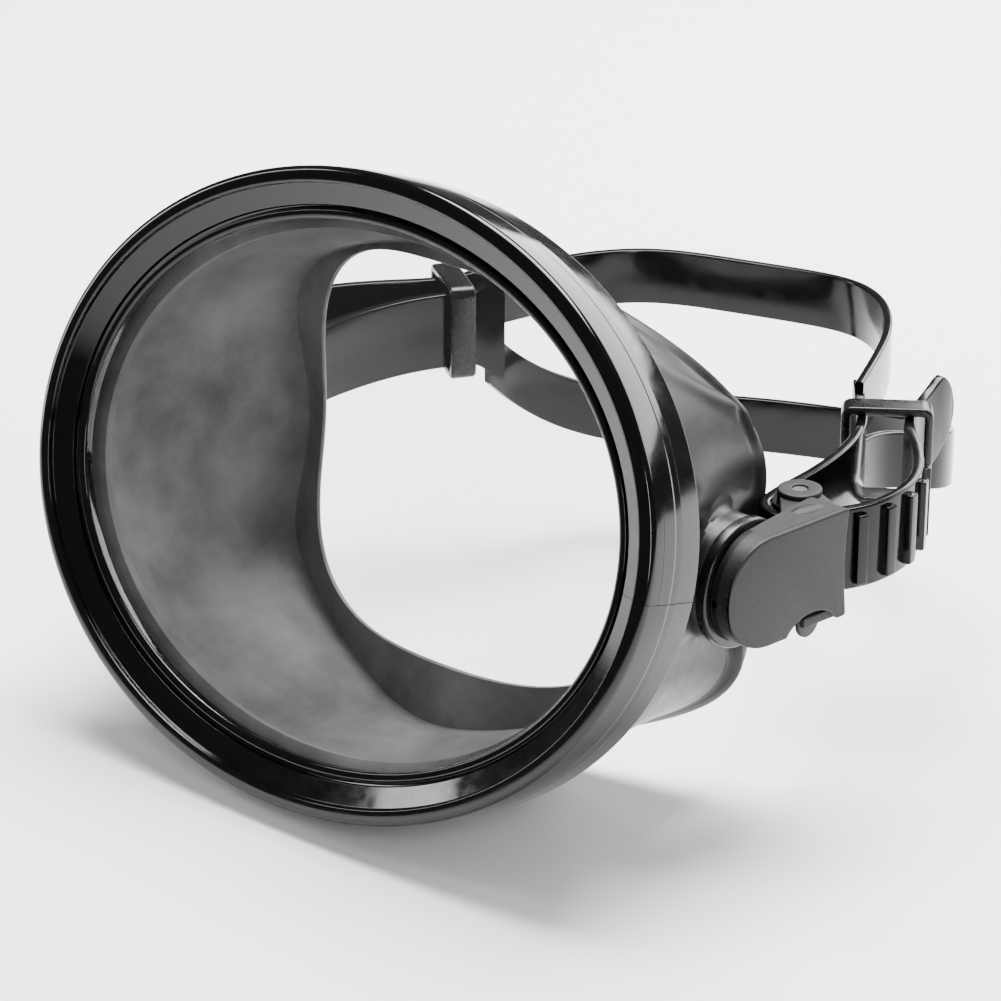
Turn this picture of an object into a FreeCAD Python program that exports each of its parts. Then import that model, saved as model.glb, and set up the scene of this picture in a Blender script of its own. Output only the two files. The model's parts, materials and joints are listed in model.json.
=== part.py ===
import FreeCAD, Part
import math
import os

# Diving mask: an oval tempered lens in a two-piece clamped frame, a silicone skirt, and a split
# silicone head strap on two swivelling quick-adjust buckles.  Millimetres.
#
# The mask group is drawn in its own upright frame: X to the wearer's left, Y from the lens towards
# the face, Z up, with zero at the middle of the frame's front edge.  It is then leaned back by
# rest_tilt, as it stands on a table.  The strap and the buckles are drawn level, in the leaned frame.

# ---- frame: oval ring, front rim to back edge ----
frame_half_width = 82.0
frame_half_height = 65.6
frame_depth = 17.0
frame_back_inset = 0.6
bead_width = 3.4
bead_height = 1.3
band_width = 4.4
band_depth = 3.3
step_drop = 0.9
groove_width = 0.9
lip_width = 1.9
lip_front = 3.7
lip_back = 6.2
channel_inset = 3.4
back_flange_inset = 5.6
back_flange_thickness = 2.0
key_thickness = 2.0
key_height = 25.0
key_front = 4.2
key_tooth = 2.6
key_tooth_half = 1.1

# ---- lens ----
lens_thickness = 4.0
lens_edge_clearance = 0.4
lens_chamfer = 0.5

# ---- skirt ----
skirt_flange_clearance = 0.15
skirt_seat_inset = 12.4
skirt_seat_thickness = 2.6
skirt_neck_clearance = 1.3
skirt_wall = 2.2
skirt_rim_half_width = 61.5
skirt_depth = 37.0
skirt_rim_side_reach = 12.5
skirt_rim_chin_reach = 11.5
skirt_rim_corner_reach = 3.0
skirt_upper_corner = 0.25
skirt_lower_corner = 0.20
skirt_lower_flatten = 0.10
skirt_opening_inset = 10.0
skirt_opening_side_reach = 10.0
skirt_opening_corner = 0.10
skirt_turn_forward = 4.0
skirt_lip_thickness = 1.6
skirt_opening_rise = 5.0
skirt_points = 24
boss_inset = 0.5
boss_root = 6.0

# ---- resting pose, and the swivel axis of the strap in that pose ----
rest_tilt = 18.0
pivot_behind_frame = 22.5
pivot_z = -11.0

# ---- buckle ----
base_inset = 7.8
base_thickness = 2.6
base_margin = 1.6
hub_radius = 5.0
hub_clearance = 0.06
swivel_gap = 0.3
back_plate_thickness = 1.6
pin_radius = 2.0
pin_embed = 4.0
pin_head_radius = 6.4
pin_head_thickness = 1.1
pin_head_gap = 0.15
pin_hole_clearance = 0.1
cover_tail_gap = 1.0
cover_thickness = 1.8
cover_slope = 0.155
cover_hollow = 0.8
flange_thickness = 2.2
ear_radius = 4.6
roller_radius = 5.5
roller_bore_clearance = 0.06
roller_end_gap = 0.3
roller_pin_radius = 1.5
roller_inset = 1.0
roller_base_gap = 0.9
lever_plate_gap = 0.4
web_clearance = 1.0
lever_reach = 9.4
lever_barrel_radius = 1.6
lever_pin_radius = 0.9
lever_bore_clearance = 0.05
lever_plate_thickness = 1.0
lever_strap_gap = 0.2
lever_swing_gap = 0.45
lever_length = 10.8
lever_tooth = 0.3
lever_plate_start = 2.8
lever_tab_reach = 4.4
lever_tab_width = 7.5
lever_slot_clearance = 0.5
lever_slot_reach = 0.8
lever_tab_drop = 5.6
spring_height = 5.0
spring_clearance = 0.1
spring_thickness = 0.5
arch_reach = 12.0
arch_radius = 9.0
arch_rise = 3.6

# ---- strap ----
strap_width = 18.0
strap_side_gap = 0.7
strap_thickness = 2.2
band_thickness = 1.9
band_height = 13.2
fork_height = 28.0
fork_inset = 24.2
fork_sharpness = 22.0
roller_wrap_gap = 0.4
wrap_clearance = 0.8
rib_height = 1.6
rib_width = 3.0
rib_pitch = 7.1
rib_count = 5
rib_margin = 1.3
rib_start = 7.0
rib_root = 0.5

# ---- keeper ----
keeper_fork_gap = 10.5
keeper_shift = 5.4
keeper_inside = 16.0
keeper_side_gap = 0.5
keeper_wall = 1.8
keeper_depth = 6.0


pivot_y = frame_depth + pivot_behind_frame


def vec(x, y, z):
    return FreeCAD.Vector(x, y, z)


def box(x0, x1, y0, y1, z0, z1):
    return Part.makeBox(x1 - x0, y1 - y0, z1 - z0, vec(x0, y0, z0))


def closed_solid(faces):
    return Part.makeSolid(Part.makeShell(faces))


# ---- the oval ----
def oval(inset, depth):
    """Ellipse edge parallel to the lens, inset from the frame's outer edge."""
    a = frame_half_width - inset
    b = frame_half_height - inset
    return Part.Ellipse(vec(a, depth, 0), vec(0, depth, b), vec(0, depth, 0)).toShape()


def oval_disc(inset, y0, y1):
    face = Part.Face(Part.Wire([oval(inset, y0)]))
    return face.extrude(vec(0, y1 - y0, 0))


def frame_profile():
    """Section of the frame as (inset, depth): outside, bead, sloping band, groove, lip, channel."""
    bead_centre = bead_width / 2.0
    bead = [
        (bead_centre - bead_centre * math.cos(a), bead_height - bead_height * math.sin(a))
        for a in (math.radians(30.0 * i) for i in range(7))
    ]
    band_end = bead_width + band_width
    groove_end = band_end + groove_width
    lip_end = groove_end + lip_width
    lip_centre = (groove_end + lip_end) / 2.0
    back = frame_depth - back_flange_thickness
    return (
        [(frame_back_inset, frame_depth), (0.0, frame_depth * 0.55)]
        + bead
        + [
            (band_end, band_depth),
            (band_end + 0.1, band_depth + step_drop),
            (groove_end, band_depth + step_drop + 0.4),
            (groove_end + 0.1, lip_front + 0.5),
            (lip_centre, lip_front),
            (lip_end - 0.1, lip_front + 0.5),
            (lip_end, lip_back),
            (channel_inset, lip_back),
            (channel_inset, back),
            (back_flange_inset, back),
            (back_flange_inset, frame_depth),
        ]
    )


def frame_ring():
    edges = [oval(inset, depth) for inset, depth in frame_profile()]
    pairs = zip(edges, edges[1:] + edges[:1])
    return closed_solid([Part.makeRuledSurface(first, second) for first, second in pairs])


def key_region():
    """Where the joint key lies on the right: outer skin of the side wall, above the seam."""
    top = key_height
    middle = (key_front + frame_depth) / 2.0
    outline = [
        (key_front, 0.0),
        (key_front, top - key_tooth),
        (middle - key_tooth_half, top),
        (middle, top + key_tooth),
        (middle + key_tooth_half, top - key_tooth / 2.0),
        (frame_depth + 1.0, top),
        (frame_depth + 1.0, 0.0),
        (key_front, 0.0),
    ]
    face = Part.Face(Part.makePolygon([vec(0, y, z) for y, z in outline]))
    wedge = face.extrude(vec(frame_half_width + 10.0, 0, 0))
    return wedge.cut(oval_disc(key_thickness, 0.0, frame_depth + 5.0))


def lens():
    inset = channel_inset + lens_edge_clearance
    plate = oval_disc(inset, lip_back, lip_back + lens_thickness)
    return plate.makeChamfer(lens_chamfer, plate.Edges)


# ---- skirt: closed curves through evenly spaced angles ----
def skirt_angles():
    return [2.0 * math.pi * i / skirt_points for i in range(skirt_points)]


def curve(point):
    """Closed smooth edge through point(angle), with the angle as its parameter."""
    spline = Part.BSplineCurve()
    marks = [i / skirt_points for i in range(skirt_points + 1)]
    spline.interpolate(Points=[point(t) for t in skirt_angles()], PeriodicFlag=True, Parameters=marks)
    return spline.toShape()


def skirt_oval(inset, depth):
    a = frame_half_width - inset
    b = frame_half_height - inset
    return lambda t: vec(a * math.cos(t), depth, b * math.sin(t))


def face_depth(t, side_reach):
    """Depth round the face: far back at the temples, short at the forehead."""
    return skirt_middle_depth + side_reach * math.cos(2 * t) - skirt_rim_chin_reach * math.sin(t)


def rim_depth(t):
    return face_depth(t, skirt_rim_side_reach) + skirt_rim_corner_reach * math.sin(2 * t) ** 2


skirt_middle_depth = frame_depth + skirt_depth
rim_drop = (rim_depth(-math.pi / 2) - frame_depth) * math.tan(math.radians(rest_tilt))
skirt_rim_half_height = frame_half_height - frame_back_inset - rim_drop


def rim(inset, forward):
    """Curve round the sealing rim, inset from its outer edge and moved towards the lens."""

    def point(t):
        bulge = math.sin(2 * t) ** 2
        upper = math.sin(t) > 0.0
        wide = 1.0 + (skirt_upper_corner if upper else skirt_lower_corner) * bulge
        tall = 1.0 if upper else 1.0 - skirt_lower_flatten * bulge
        x = (skirt_rim_half_width - inset) * math.cos(t) * wide
        z = (skirt_rim_half_height - inset) * math.sin(t) * tall
        return vec(x, rim_depth(t) - forward, z)

    return point


def opening(forward):
    """Curve round the face opening, at the free edge of the sealing lip."""

    def point(t):
        corner = 1.0 + skirt_opening_corner * math.sin(2 * t) ** 2
        x = (skirt_rim_half_width - skirt_opening_inset) * math.cos(t) * corner
        z = (skirt_rim_half_height - skirt_opening_inset) * math.sin(t) * corner + skirt_opening_rise
        return vec(x, face_depth(t, skirt_opening_side_reach) - forward, z)

    return point


def between(first, second, share):
    """Curve part of the way from first to second, leaving and arriving gently."""
    ease = share * share * (3.0 - 2.0 * share)

    def point(t):
        a = first(t)
        b = second(t)
        return vec(
            a.x + (b.x - a.x) * ease,
            a.y + (b.y - a.y) * share,
            a.z + (b.z - a.z) * ease,
        )

    return point


def ruled_bands(curves):
    edges = [curve(point) for point in curves]
    return [Part.makeRuledSurface(a, b) for a, b in zip(edges, edges[1:])], edges


def skirt_wall_curves(inset):
    """Curves of the skirt's side wall from the frame to the rim, inset from its outside."""
    start = skirt_oval(back_flange_inset + skirt_neck_clearance + inset, frame_depth + 1.5)
    end = rim(inset, inset)
    return [between(start, end, i / 4.0) for i in range(5)]


def skirt():
    lens_back = lip_back + lens_thickness
    flange_back = frame_depth - back_flange_thickness
    flange = channel_inset + skirt_flange_clearance
    neck = back_flange_inset + skirt_neck_clearance
    outside = [
        skirt_oval(flange, lens_back),
        skirt_oval(flange, flange_back),
        skirt_oval(neck, flange_back),
    ] + skirt_wall_curves(0.0)
    lip = [opening(skirt_turn_forward), opening(skirt_turn_forward + skirt_lip_thickness)]
    inside = list(reversed(skirt_wall_curves(skirt_wall))) + [
        skirt_oval(neck + skirt_wall, lens_back + skirt_seat_thickness),
        skirt_oval(skirt_seat_inset, lens_back + skirt_seat_thickness),
        skirt_oval(skirt_seat_inset, lens_back),
    ]
    loop = outside + lip + inside
    edges = [curve(point) for point in loop]
    pairs = zip(edges, edges[1:] + edges[:1])
    return closed_solid([Part.makeRuledSurface(first, second) for first, second in pairs])


def skirt_core():
    """Solid that fills the skirt to the middle of its wall; trims the bosses on the inside."""
    far = 2.0 * skirt_middle_depth
    inset = skirt_wall / 2.0
    curves = skirt_wall_curves(inset)
    last = rim(inset, inset)
    curves = curves + [lambda t: vec(last(t).x, far, last(t).z)]
    faces, edges = ruled_bands(curves)
    caps = [Part.Face(Part.Wire([edges[0]])), Part.Face(Part.Wire([edges[-1]]))]
    return closed_solid(faces + caps)


def lean(shape):
    """Mask group leaned back into the resting pose."""
    leaned = shape.copy()
    leaned.rotate(vec(0, 0, 0), vec(1, 0, 0), -rest_tilt)
    return leaned


# ---- buckle, right side: reach is measured backwards from the pivot, height up from it ----
def across(radius, x0, x1, reach=0.0, height=0.0):
    """Cylinder along X."""
    return Part.makeCylinder(radius, x1 - x0, vec(x0, pivot_y + reach, pivot_z + height), vec(1, 0, 0))


def upright(radius, x, reach, low, high):
    """Cylinder along Z, from low to high of the pivot."""
    return Part.makeCylinder(radius, high - low, vec(x, pivot_y + reach, pivot_z + low))


def block(x0, x1, reach0, reach1, low, high):
    return box(x0, x1, pivot_y + reach0, pivot_y + reach1, pivot_z + low, pivot_z + high)


def prism_z(points, low, high):
    """Prism with an (x, reach) outline, from low to high of the pivot."""
    corners = [vec(x, pivot_y + reach, pivot_z + low) for x, reach in points]
    face = Part.Face(Part.makePolygon(corners + corners[:1]))
    return face.extrude(vec(0, 0, high - low))


base_inner_x = frame_half_width - base_inset
base_outer_x = base_inner_x + base_thickness
plate_inner_x = base_outer_x + swivel_gap
plate_outer_x = plate_inner_x + back_plate_thickness
hub_outer_x = plate_outer_x + pin_head_gap
inner_height = strap_width / 2.0 + strap_side_gap
body_height = inner_height + flange_thickness
cover_radius = body_height
base_radius = cover_radius + base_margin
roller_reach = base_radius + roller_base_gap + strap_thickness + roller_wrap_gap + roller_radius
cover_reach = roller_reach - cover_tail_gap
roller_x = base_inner_x - roller_inset
wrap_radius = roller_radius + roller_wrap_gap + strap_thickness / 2.0
wrap_outer_x = roller_x + wrap_radius + strap_thickness / 2.0
lever_x = plate_outer_x + lever_plate_gap + lever_barrel_radius
lever_plate_x = wrap_outer_x + lever_strap_gap + lever_tooth
lever_outer_x = lever_plate_x + lever_plate_thickness
outermost = lever_outer_x + 10.0


def cover_x(reach):
    """Outer face of the cover, which slopes outwards towards the strap and clears the lever."""
    clear = lever_outer_x + lever_swing_gap + cover_thickness
    return clear + (reach - lever_reach - lever_plate_start) * cover_slope


def buckle_base():
    disc = across(base_radius, base_inner_x, base_outer_x)
    hub = across(hub_radius, base_outer_x, hub_outer_x)
    bore = across(pin_radius, base_inner_x - 1.0, hub_outer_x + 1.0)
    return disc.fuse(hub).cut(bore).removeSplitter()


def swivel_pin():
    shank = across(pin_radius, base_inner_x - pin_embed, hub_outer_x)
    head = across(pin_head_radius, hub_outer_x, hub_outer_x + pin_head_thickness)
    return shank.fuse(head).removeSplitter()


def under_cover(depth, margin):
    """Everything inboard of a plane parallel to the cover's face, that far beneath it."""
    near = -cover_radius - margin
    far = cover_reach + margin
    outline = [
        (plate_inner_x - 20.0, near),
        (cover_x(near) - depth, near),
        (cover_x(far) - depth, far),
        (plate_inner_x - 20.0, far),
    ]
    return prism_z(outline, -3 * body_height, 3 * body_height)


def cover_shape(inset, reach, x0, x1):
    """Round nose round the pivot running into a square tail."""
    nose = across(cover_radius - inset, x0, x1)
    half = body_height - inset
    tail = block(x0, x1, 0.0, reach, -half, half)
    return nose.fuse(tail)


def buckle_body():
    outer = cover_shape(0.0, cover_reach, plate_inner_x, outermost).common(under_cover(0.0, 5.0))
    hollow = cover_shape(flange_thickness, cover_reach + 5.0, plate_outer_x, outermost)
    shell = outer.cut(hollow.common(under_cover(cover_thickness, 10.0)))
    wrap_front = roller_reach - roller_radius - roller_wrap_gap - strap_thickness
    wrap_start = wrap_front - wrap_clearance
    wrap_room = block(plate_inner_x - 1.0, plate_outer_x + 1.0, wrap_start, 40.0, -inner_height, inner_height)
    shell = shell.cut(wrap_room)
    web_front = math.sqrt((base_radius + web_clearance) ** 2 - inner_height ** 2)
    ear_front = (roller_x - ear_radius, roller_reach)
    for low, high in ((inner_height, body_height), (-body_height, -inner_height)):
        web = [
            ear_front,
            (plate_inner_x, web_front),
            (cover_x(web_front) - 1.0, web_front),
            (cover_x(cover_reach) - 1.0, cover_reach),
            (roller_x + ear_radius * 0.6, roller_reach + ear_radius * 0.8),
        ]
        shell = shell.fuse(prism_z(web, low, high))
        shell = shell.fuse(upright(ear_radius, roller_x, roller_reach, low, high))
    arch_height = -body_height - arch_radius + arch_rise
    arch = across(arch_radius, lever_plate_x - lever_slot_clearance, outermost, arch_reach, arch_height)
    tab_front = lever_reach + lever_tab_reach - lever_tab_width / 2.0 - lever_slot_clearance
    slot = block(
        lever_plate_x - lever_slot_clearance,
        lever_outer_x + lever_slot_reach,
        tab_front,
        tab_front + lever_tab_width + 2.0 * lever_slot_clearance,
        -body_height - 1.0,
        -inner_height + 0.5,
    )
    tail_cut = across(40.0, plate_inner_x, outermost, cover_reach + 40.0 - cover_hollow, 0.0)
    bores = [
        across(hub_radius + hub_clearance, plate_inner_x - 1.0, plate_outer_x + 0.5),
        upright(roller_pin_radius, roller_x, roller_reach, -20.0, 20.0),
        upright(lever_pin_radius, lever_x, lever_reach, -20.0, 20.0),
    ]
    tail_hollow = tail_cut.common(block(plate_outer_x + 2.0, outermost, 0.0, 80.0, -40.0, 40.0))
    for cutter in [arch, slot, tail_hollow] + bores:
        shell = shell.cut(cutter)
    return shell.removeSplitter()


def roller():
    half = inner_height - roller_end_gap
    barrel = upright(roller_radius, roller_x, roller_reach, -half, half)
    bore = upright(roller_pin_radius + roller_bore_clearance, roller_x, roller_reach, -half - 1, half + 1)
    return barrel.cut(bore)


def roller_pin():
    return upright(roller_pin_radius, roller_x, roller_reach, -body_height, body_height)


def release_lever():
    half = inner_height - roller_end_gap
    plate_end = lever_reach + lever_length
    barrel = upright(lever_barrel_radius, lever_x, lever_reach, -half, half)
    plate_outer = lever_outer_x
    plate_start = lever_reach + lever_plate_start
    joint = prism_z(
        [
            (lever_x, lever_reach - lever_barrel_radius * 0.7),
            (plate_outer, plate_start - 0.4),
            (plate_outer, plate_start + 0.6),
            (lever_plate_x - 0.3, plate_start + 0.6),
            (lever_x, lever_reach + lever_barrel_radius * 0.9),
        ],
        -half,
        half,
    )
    plate = block(lever_plate_x, plate_outer, plate_start, plate_end, -half, half)
    tooth = block(lever_plate_x - lever_tooth, lever_plate_x, plate_end - 1.2, plate_end, -half, half)
    middle = lever_reach + lever_tab_reach
    low = -half - lever_tab_drop + lever_tab_width / 2.0
    half_tab = lever_tab_width / 2.0
    tab = block(lever_plate_x, plate_outer, middle - half_tab, middle + half_tab, low, -half)
    tab_end = across(lever_tab_width / 2.0, lever_plate_x, plate_outer, middle, low)
    lever = barrel.fuse([joint, plate, tooth, tab, tab_end])
    bore = upright(lever_pin_radius + lever_bore_clearance, lever_x, lever_reach, -half - 1, half + 1)
    window = spring_height / 2.0 + spring_clearance
    pocket = upright(lever_barrel_radius + 0.6, lever_x, lever_reach, -window, window)
    return lever.cut([bore, pocket]).removeSplitter()


def lever_pin():
    return upright(lever_pin_radius, lever_x, lever_reach, -body_height, body_height)


def lever_spring():
    half = spring_height / 2.0
    outer = upright(lever_pin_radius + spring_clearance + spring_thickness, lever_x, lever_reach, -half, half)
    return outer.cut(upright(lever_pin_radius, lever_x, lever_reach, -half, half))


# ---- strap: level ribbons with an upright section, whose routes are the middle of the silicone ----
def strand(side_x, points):
    """Route points beside the buckle: x from the side of the turn, y from the pivot."""
    return [(side_x + x, pivot_y + y, pivot_z) for x, y in points]


def band(points):
    """Route points of a band: x as a share of the fork's half spread, y and z from the pivot."""
    return [(fork_x * x, pivot_y + y, pivot_z + z) for x, y, z in points]


roller_y = pivot_y + roller_reach
fork_x = roller_x - fork_inset
inner_strand = strand(
    roller_x - wrap_radius,
    [(wrap_radius - fork_inset, 77.0), (-9.7, 68.0), (-4.7, 58.5), (-1.6, 46.5), (-0.5, 34.5)],
)
turn = [
    (roller_x - wrap_radius * math.cos(a), roller_y - wrap_radius * math.sin(a), pivot_z)
    for a in (math.radians(30.0 * i) for i in range(7))
]
outer_strand = strand(
    roller_x + wrap_radius,
    [
        (3.0, 29.0),
        (4.8, 36.5),
        (3.8, 46.5),
        (-1.2, 56.5),
        (-8.2, 65.0),
        (-14.6, 72.5),
        (-18.6, 80.5),
        (-20.2, 91.0),
    ],
)
upper_band = band(
    [
        (-1.05, 74.0, 6.8),
        (-1.00, 84.5, 6.6),
        (-0.93, 97.5, 6.0),
        (-0.72, 110.5, 6.0),
        (-0.37, 120.5, 5.0),
        (-0.04, 125.0, 5.0),
        (0.29, 125.5, 5.5),
        (0.57, 117.0, 6.0),
        (0.80, 101.5, 6.5),
        (0.94, 87.0, 6.8),
        (1.05, 74.0, 6.8),
    ]
)
lower_band = band(
    [
        (-1.05, 74.0, -7.4),
        (-1.05, 81.5, -14.0),
        (-1.00, 90.5, -21.0),
        (-0.84, 101.5, -27.0),
        (-0.33, 119.5, -29.0),
        (0.20, 128.5, -28.0),
        (0.71, 124.0, -22.5),
        (1.02, 112.5, -16.5),
        (1.12, 99.5, -12.5),
        (1.03, 86.0, -9.0),
        (1.05, 74.0, -7.4),
    ]
)


def route(points):
    spline = Part.BSplineCurve()
    spline.interpolate(Points=[vec(*p) for p in points])
    return spline


def ribbon(points, thickness, height, sections):
    """Loft of upright rectangles along a route; height(share) is the width of the ribbon there."""
    spline = route(points)
    length = spline.length()
    wires = []
    for i in range(sections + 1):
        share = i / sections
        at = spline.parameterAtDistance(share * length)
        middle = spline.value(at)
        along = spline.tangent(at)[0]
        side = vec(along.y, -along.x, 0).normalize() * (thickness / 2.0)
        half = vec(0, 0, height(share) / 2.0)
        corners = [middle - side - half, middle + side - half, middle + side + half, middle - side + half]
        wires.append(Part.makePolygon(corners + corners[:1]))
    return Part.makeLoft(wires, True, False)


def tongue_height(share):
    """The tongue is wider only where it meets the two bands."""
    spread = max(0.0, 1.0 - share * fork_sharpness)
    return strap_width + (fork_height - strap_width) * spread * spread * (3.0 - 2.0 * spread)


def outer_ribs():
    """Locking ribs across the outer strand, evenly spaced behind the buckle."""
    spline = route([turn[-1]] + outer_strand)
    half = strap_width / 2.0 - rib_margin
    foot = strap_thickness / 2.0 - rib_root
    ribs = []
    for i in range(rib_count):
        at = spline.parameterAtDistance(rib_start + i * rib_pitch)
        middle = spline.value(at)
        along = spline.tangent(at)[0]
        rib = Part.makeBox(rib_height + rib_root, rib_width, 2 * half, vec(foot, -rib_width / 2.0, -half))
        rib.rotate(vec(0, 0, 0), vec(0, 0, 1), math.degrees(math.atan2(along.y, along.x)) - 90.0)
        rib.translate(middle)
        ribs.append(rib)
    return ribs


def mirrored(shape):
    return shape.mirror(vec(0, 0, 0), vec(1, 0, 0))


def strap():
    tongue = ribbon(inner_strand + turn + outer_strand, strap_thickness, tongue_height, 48)
    right = tongue.fuse(outer_ribs())
    bands = [ribbon(points, band_thickness, lambda _: band_height, 30) for points in (upper_band, lower_band)]
    return right.fuse([mirrored(right)] + bands)


def keeper_place():
    """Middle of the keeper, and the way the inner strand runs through it, towards the fork."""
    spline = route(inner_strand)
    at = spline.parameterAtDistance(keeper_fork_gap)
    along = spline.tangent(at)[0].negative()
    across_strap = vec(along.y, -along.x, 0).normalize()
    return spline.value(at) + across_strap * keeper_shift, along


def keeper():
    """Rectangular loop round both strands, square to the strap there."""
    place, along = keeper_place()
    half_height = strap_width / 2.0 + keeper_side_gap
    length = keeper_inside + 2.0 * keeper_wall
    height = 2.0 * (half_height + keeper_wall)
    outer = Part.makeBox(length, keeper_depth, height, vec(-length / 2.0, -keeper_depth / 2.0, -height / 2.0))
    start = vec(-keeper_inside / 2.0, -keeper_depth / 2.0 - 1.0, -half_height)
    inner = Part.makeBox(keeper_inside, keeper_depth + 2.0, 2.0 * half_height, start)
    loop = outer.cut(inner)
    loop.rotate(vec(0, 0, 0), vec(0, 0, 1), math.degrees(math.atan2(along.y, along.x)) - 90.0)
    loop.translate(place)
    return loop


# ---- assembly ----
ring = frame_ring()
key = key_region()
keys = key.fuse(mirrored(key))
wall = ring.cut(keys)
far = 200.0
upper_half = wall.common(box(-far, far, -far, far, 0, far))
lower_half = wall.common(box(-far, far, -far, far, -far, 0))

boss = across(base_radius - boss_inset, skirt_rim_half_width - boss_root, base_inner_x)
hole_end = base_inner_x - pin_embed - pin_hole_clearance
pin_hole = across(pin_radius + pin_hole_clearance, hole_end, base_inner_x + 1.0)
core = lean(skirt_core())
boss = boss.cut(core)
skirt_solid = lean(skirt()).fuse([boss, mirrored(boss)]).cut([pin_hole, mirrored(pin_hole)])

nodes = {
    "lens": lean(lens()),
    "frame_upper": lean(upper_half),
    "frame_lower": lean(lower_half),
    "skirt": skirt_solid,
    "strap": strap(),
}
right_side = {
    "frame_key": lean(ring.common(key)),
    "buckle_base": buckle_base(),
    "swivel_pin": swivel_pin(),
    "buckle_body": buckle_body(),
    "roller": roller(),
    "roller_pin": roller_pin(),
    "release_lever": release_lever(),
    "lever_pin": lever_pin(),
    "lever_spring": lever_spring(),
    "keeper": keeper(),
}
for name, shape in right_side.items():
    nodes[name + "_right"] = shape
    nodes[name + "_left"] = mirrored(shape)

# The origin is on the table, under the middle of the mask's box.
whole = Part.makeCompound(list(nodes.values())).optimalBoundingBox(False)
shift = vec(0, -(whole.YMin + whole.YMax) / 2.0, -whole.ZMin)

os.makedirs("parts", exist_ok=True)
for name, shape in nodes.items():
    placed = shape.Solids[0].copy()
    placed.translate(shift)
    placed.exportStep(os.path.join("parts", name + ".step"))
    state = "valid" if shape.isValid() else "invalid"
    print(name, len(shape.Solids), "solid", state, round(shape.Volume, 1), "mm3")

print("box", [round(size, 2) for size in (whole.XLength, whole.YLength, whole.ZLength)])
place, along = keeper_place()
for label, point in (
    ("frame centre", vec(0, 0, 0)),
    ("swivel axis", vec(0, pivot_y, pivot_z)),
    ("roller axis", vec(roller_x, roller_y, pivot_z)),
    ("lever axis", vec(lever_x, pivot_y + lever_reach, pivot_z)),
    ("keeper", place),
):
    print(label, [round(value, 3) for value in point + shift])
print("keeper slides along", [round(value, 4) for value in along])
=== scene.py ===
# %% [markdown]
# # A diving mask in mesh code
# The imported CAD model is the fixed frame. It says where each part is and how it moves, and this
# script dresses it: the moulded ring, the silicone skirt and strap, and the buckles.
# Sizes are written in millimetres, as a maker would read them, and turned to metres by MM.

# %% Load the frame
import bpy, bmesh, json, math
import numpy as np
from mathutils import Matrix, Vector
from mathutils.bvhtree import BVHTree


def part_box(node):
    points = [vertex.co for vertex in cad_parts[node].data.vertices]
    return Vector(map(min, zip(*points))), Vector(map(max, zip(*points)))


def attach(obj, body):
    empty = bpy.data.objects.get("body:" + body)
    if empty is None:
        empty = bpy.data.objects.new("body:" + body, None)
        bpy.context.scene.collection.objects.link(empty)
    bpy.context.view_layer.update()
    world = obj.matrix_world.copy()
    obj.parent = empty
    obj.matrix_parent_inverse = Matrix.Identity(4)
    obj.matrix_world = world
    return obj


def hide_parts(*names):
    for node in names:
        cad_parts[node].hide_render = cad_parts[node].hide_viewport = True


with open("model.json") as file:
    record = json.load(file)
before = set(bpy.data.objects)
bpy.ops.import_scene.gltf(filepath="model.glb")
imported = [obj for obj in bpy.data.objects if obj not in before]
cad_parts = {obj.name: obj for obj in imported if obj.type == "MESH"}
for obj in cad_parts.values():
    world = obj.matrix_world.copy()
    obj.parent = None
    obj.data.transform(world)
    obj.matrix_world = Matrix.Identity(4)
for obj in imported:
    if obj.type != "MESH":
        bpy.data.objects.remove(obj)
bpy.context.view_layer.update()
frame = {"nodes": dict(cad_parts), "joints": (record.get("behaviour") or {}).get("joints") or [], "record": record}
MM = 0.001
nodes = frame["nodes"]
record = frame["record"]

# %% [markdown]
# ## Where things are
# The mask leans back as it rests on its rim and chin, so everything on the ring is drawn upright
# first, with zero at the middle of the front rim, and then leaned. The lean and the middle come
# from the record's lens mount; the swivel and the rollers come from the joints.

# %% Places and the lean
mount = {m["name"]: m for m in record["mounts"]}
joint = {j["name"]: j for j in frame["joints"]}
lens_normal = Vector(mount["lens_face"]["axis"])
lens_front = 6.2
mask_centre = Vector(mount["lens_face"]["pos_m"]) + lens_normal * lens_front * MM
lean_angle = math.atan2(lens_normal.z, -lens_normal.y)
pivot = Vector(joint["strap_swivel"]["pos_m"])
roller_at = Vector(joint["roller_turn_right"]["pos_m"])
lever_at = Vector(joint["lever_press_right"]["pos_m"])


def lean(points):
    """Points in the mask's upright frame, in mm, to metres in the row frame."""
    p = np.asarray(points, float) * MM
    c, s = math.cos(lean_angle), math.sin(lean_angle)
    x, y, z = p[..., 0], p[..., 1], p[..., 2]
    return np.stack([x, y * c + z * s, -y * s + z * c], -1) + np.array(mask_centre)


print("lean", round(math.degrees(lean_angle), 1), "pivot", [round(v, 4) for v in pivot])

# %% [markdown]
# ## Helpers for meshes
# Most pieces are a section carried along a path, so a grid of points with quads between them is
# the main tool. Another is a plate: an outline with a wall, and rounded edges like a moulding's.
# Closed shells get their normals recalculated, and edges sharper than an angle stay crisp.

# %% Mesh helpers
def piece(name, points, faces, crisp=32.0):
    """A closed shell as an object: doubles merged, normals out, smooth except at crisp edges."""
    mesh = bpy.data.meshes.new(name)
    mesh.from_pydata([tuple(p) for p in points], [], [tuple(f) for f in faces])
    bm = bmesh.new()
    bm.from_mesh(mesh)
    bmesh.ops.remove_doubles(bm, verts=bm.verts, dist=1e-7)
    bmesh.ops.recalc_face_normals(bm, faces=bm.faces)
    bm.to_mesh(mesh)
    bm.free()
    mesh.shade_smooth()
    mesh.set_sharp_from_angle(angle=math.radians(crisp))
    obj = bpy.data.objects.new(name, mesh)
    bpy.context.scene.collection.objects.link(obj)
    return obj


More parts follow.
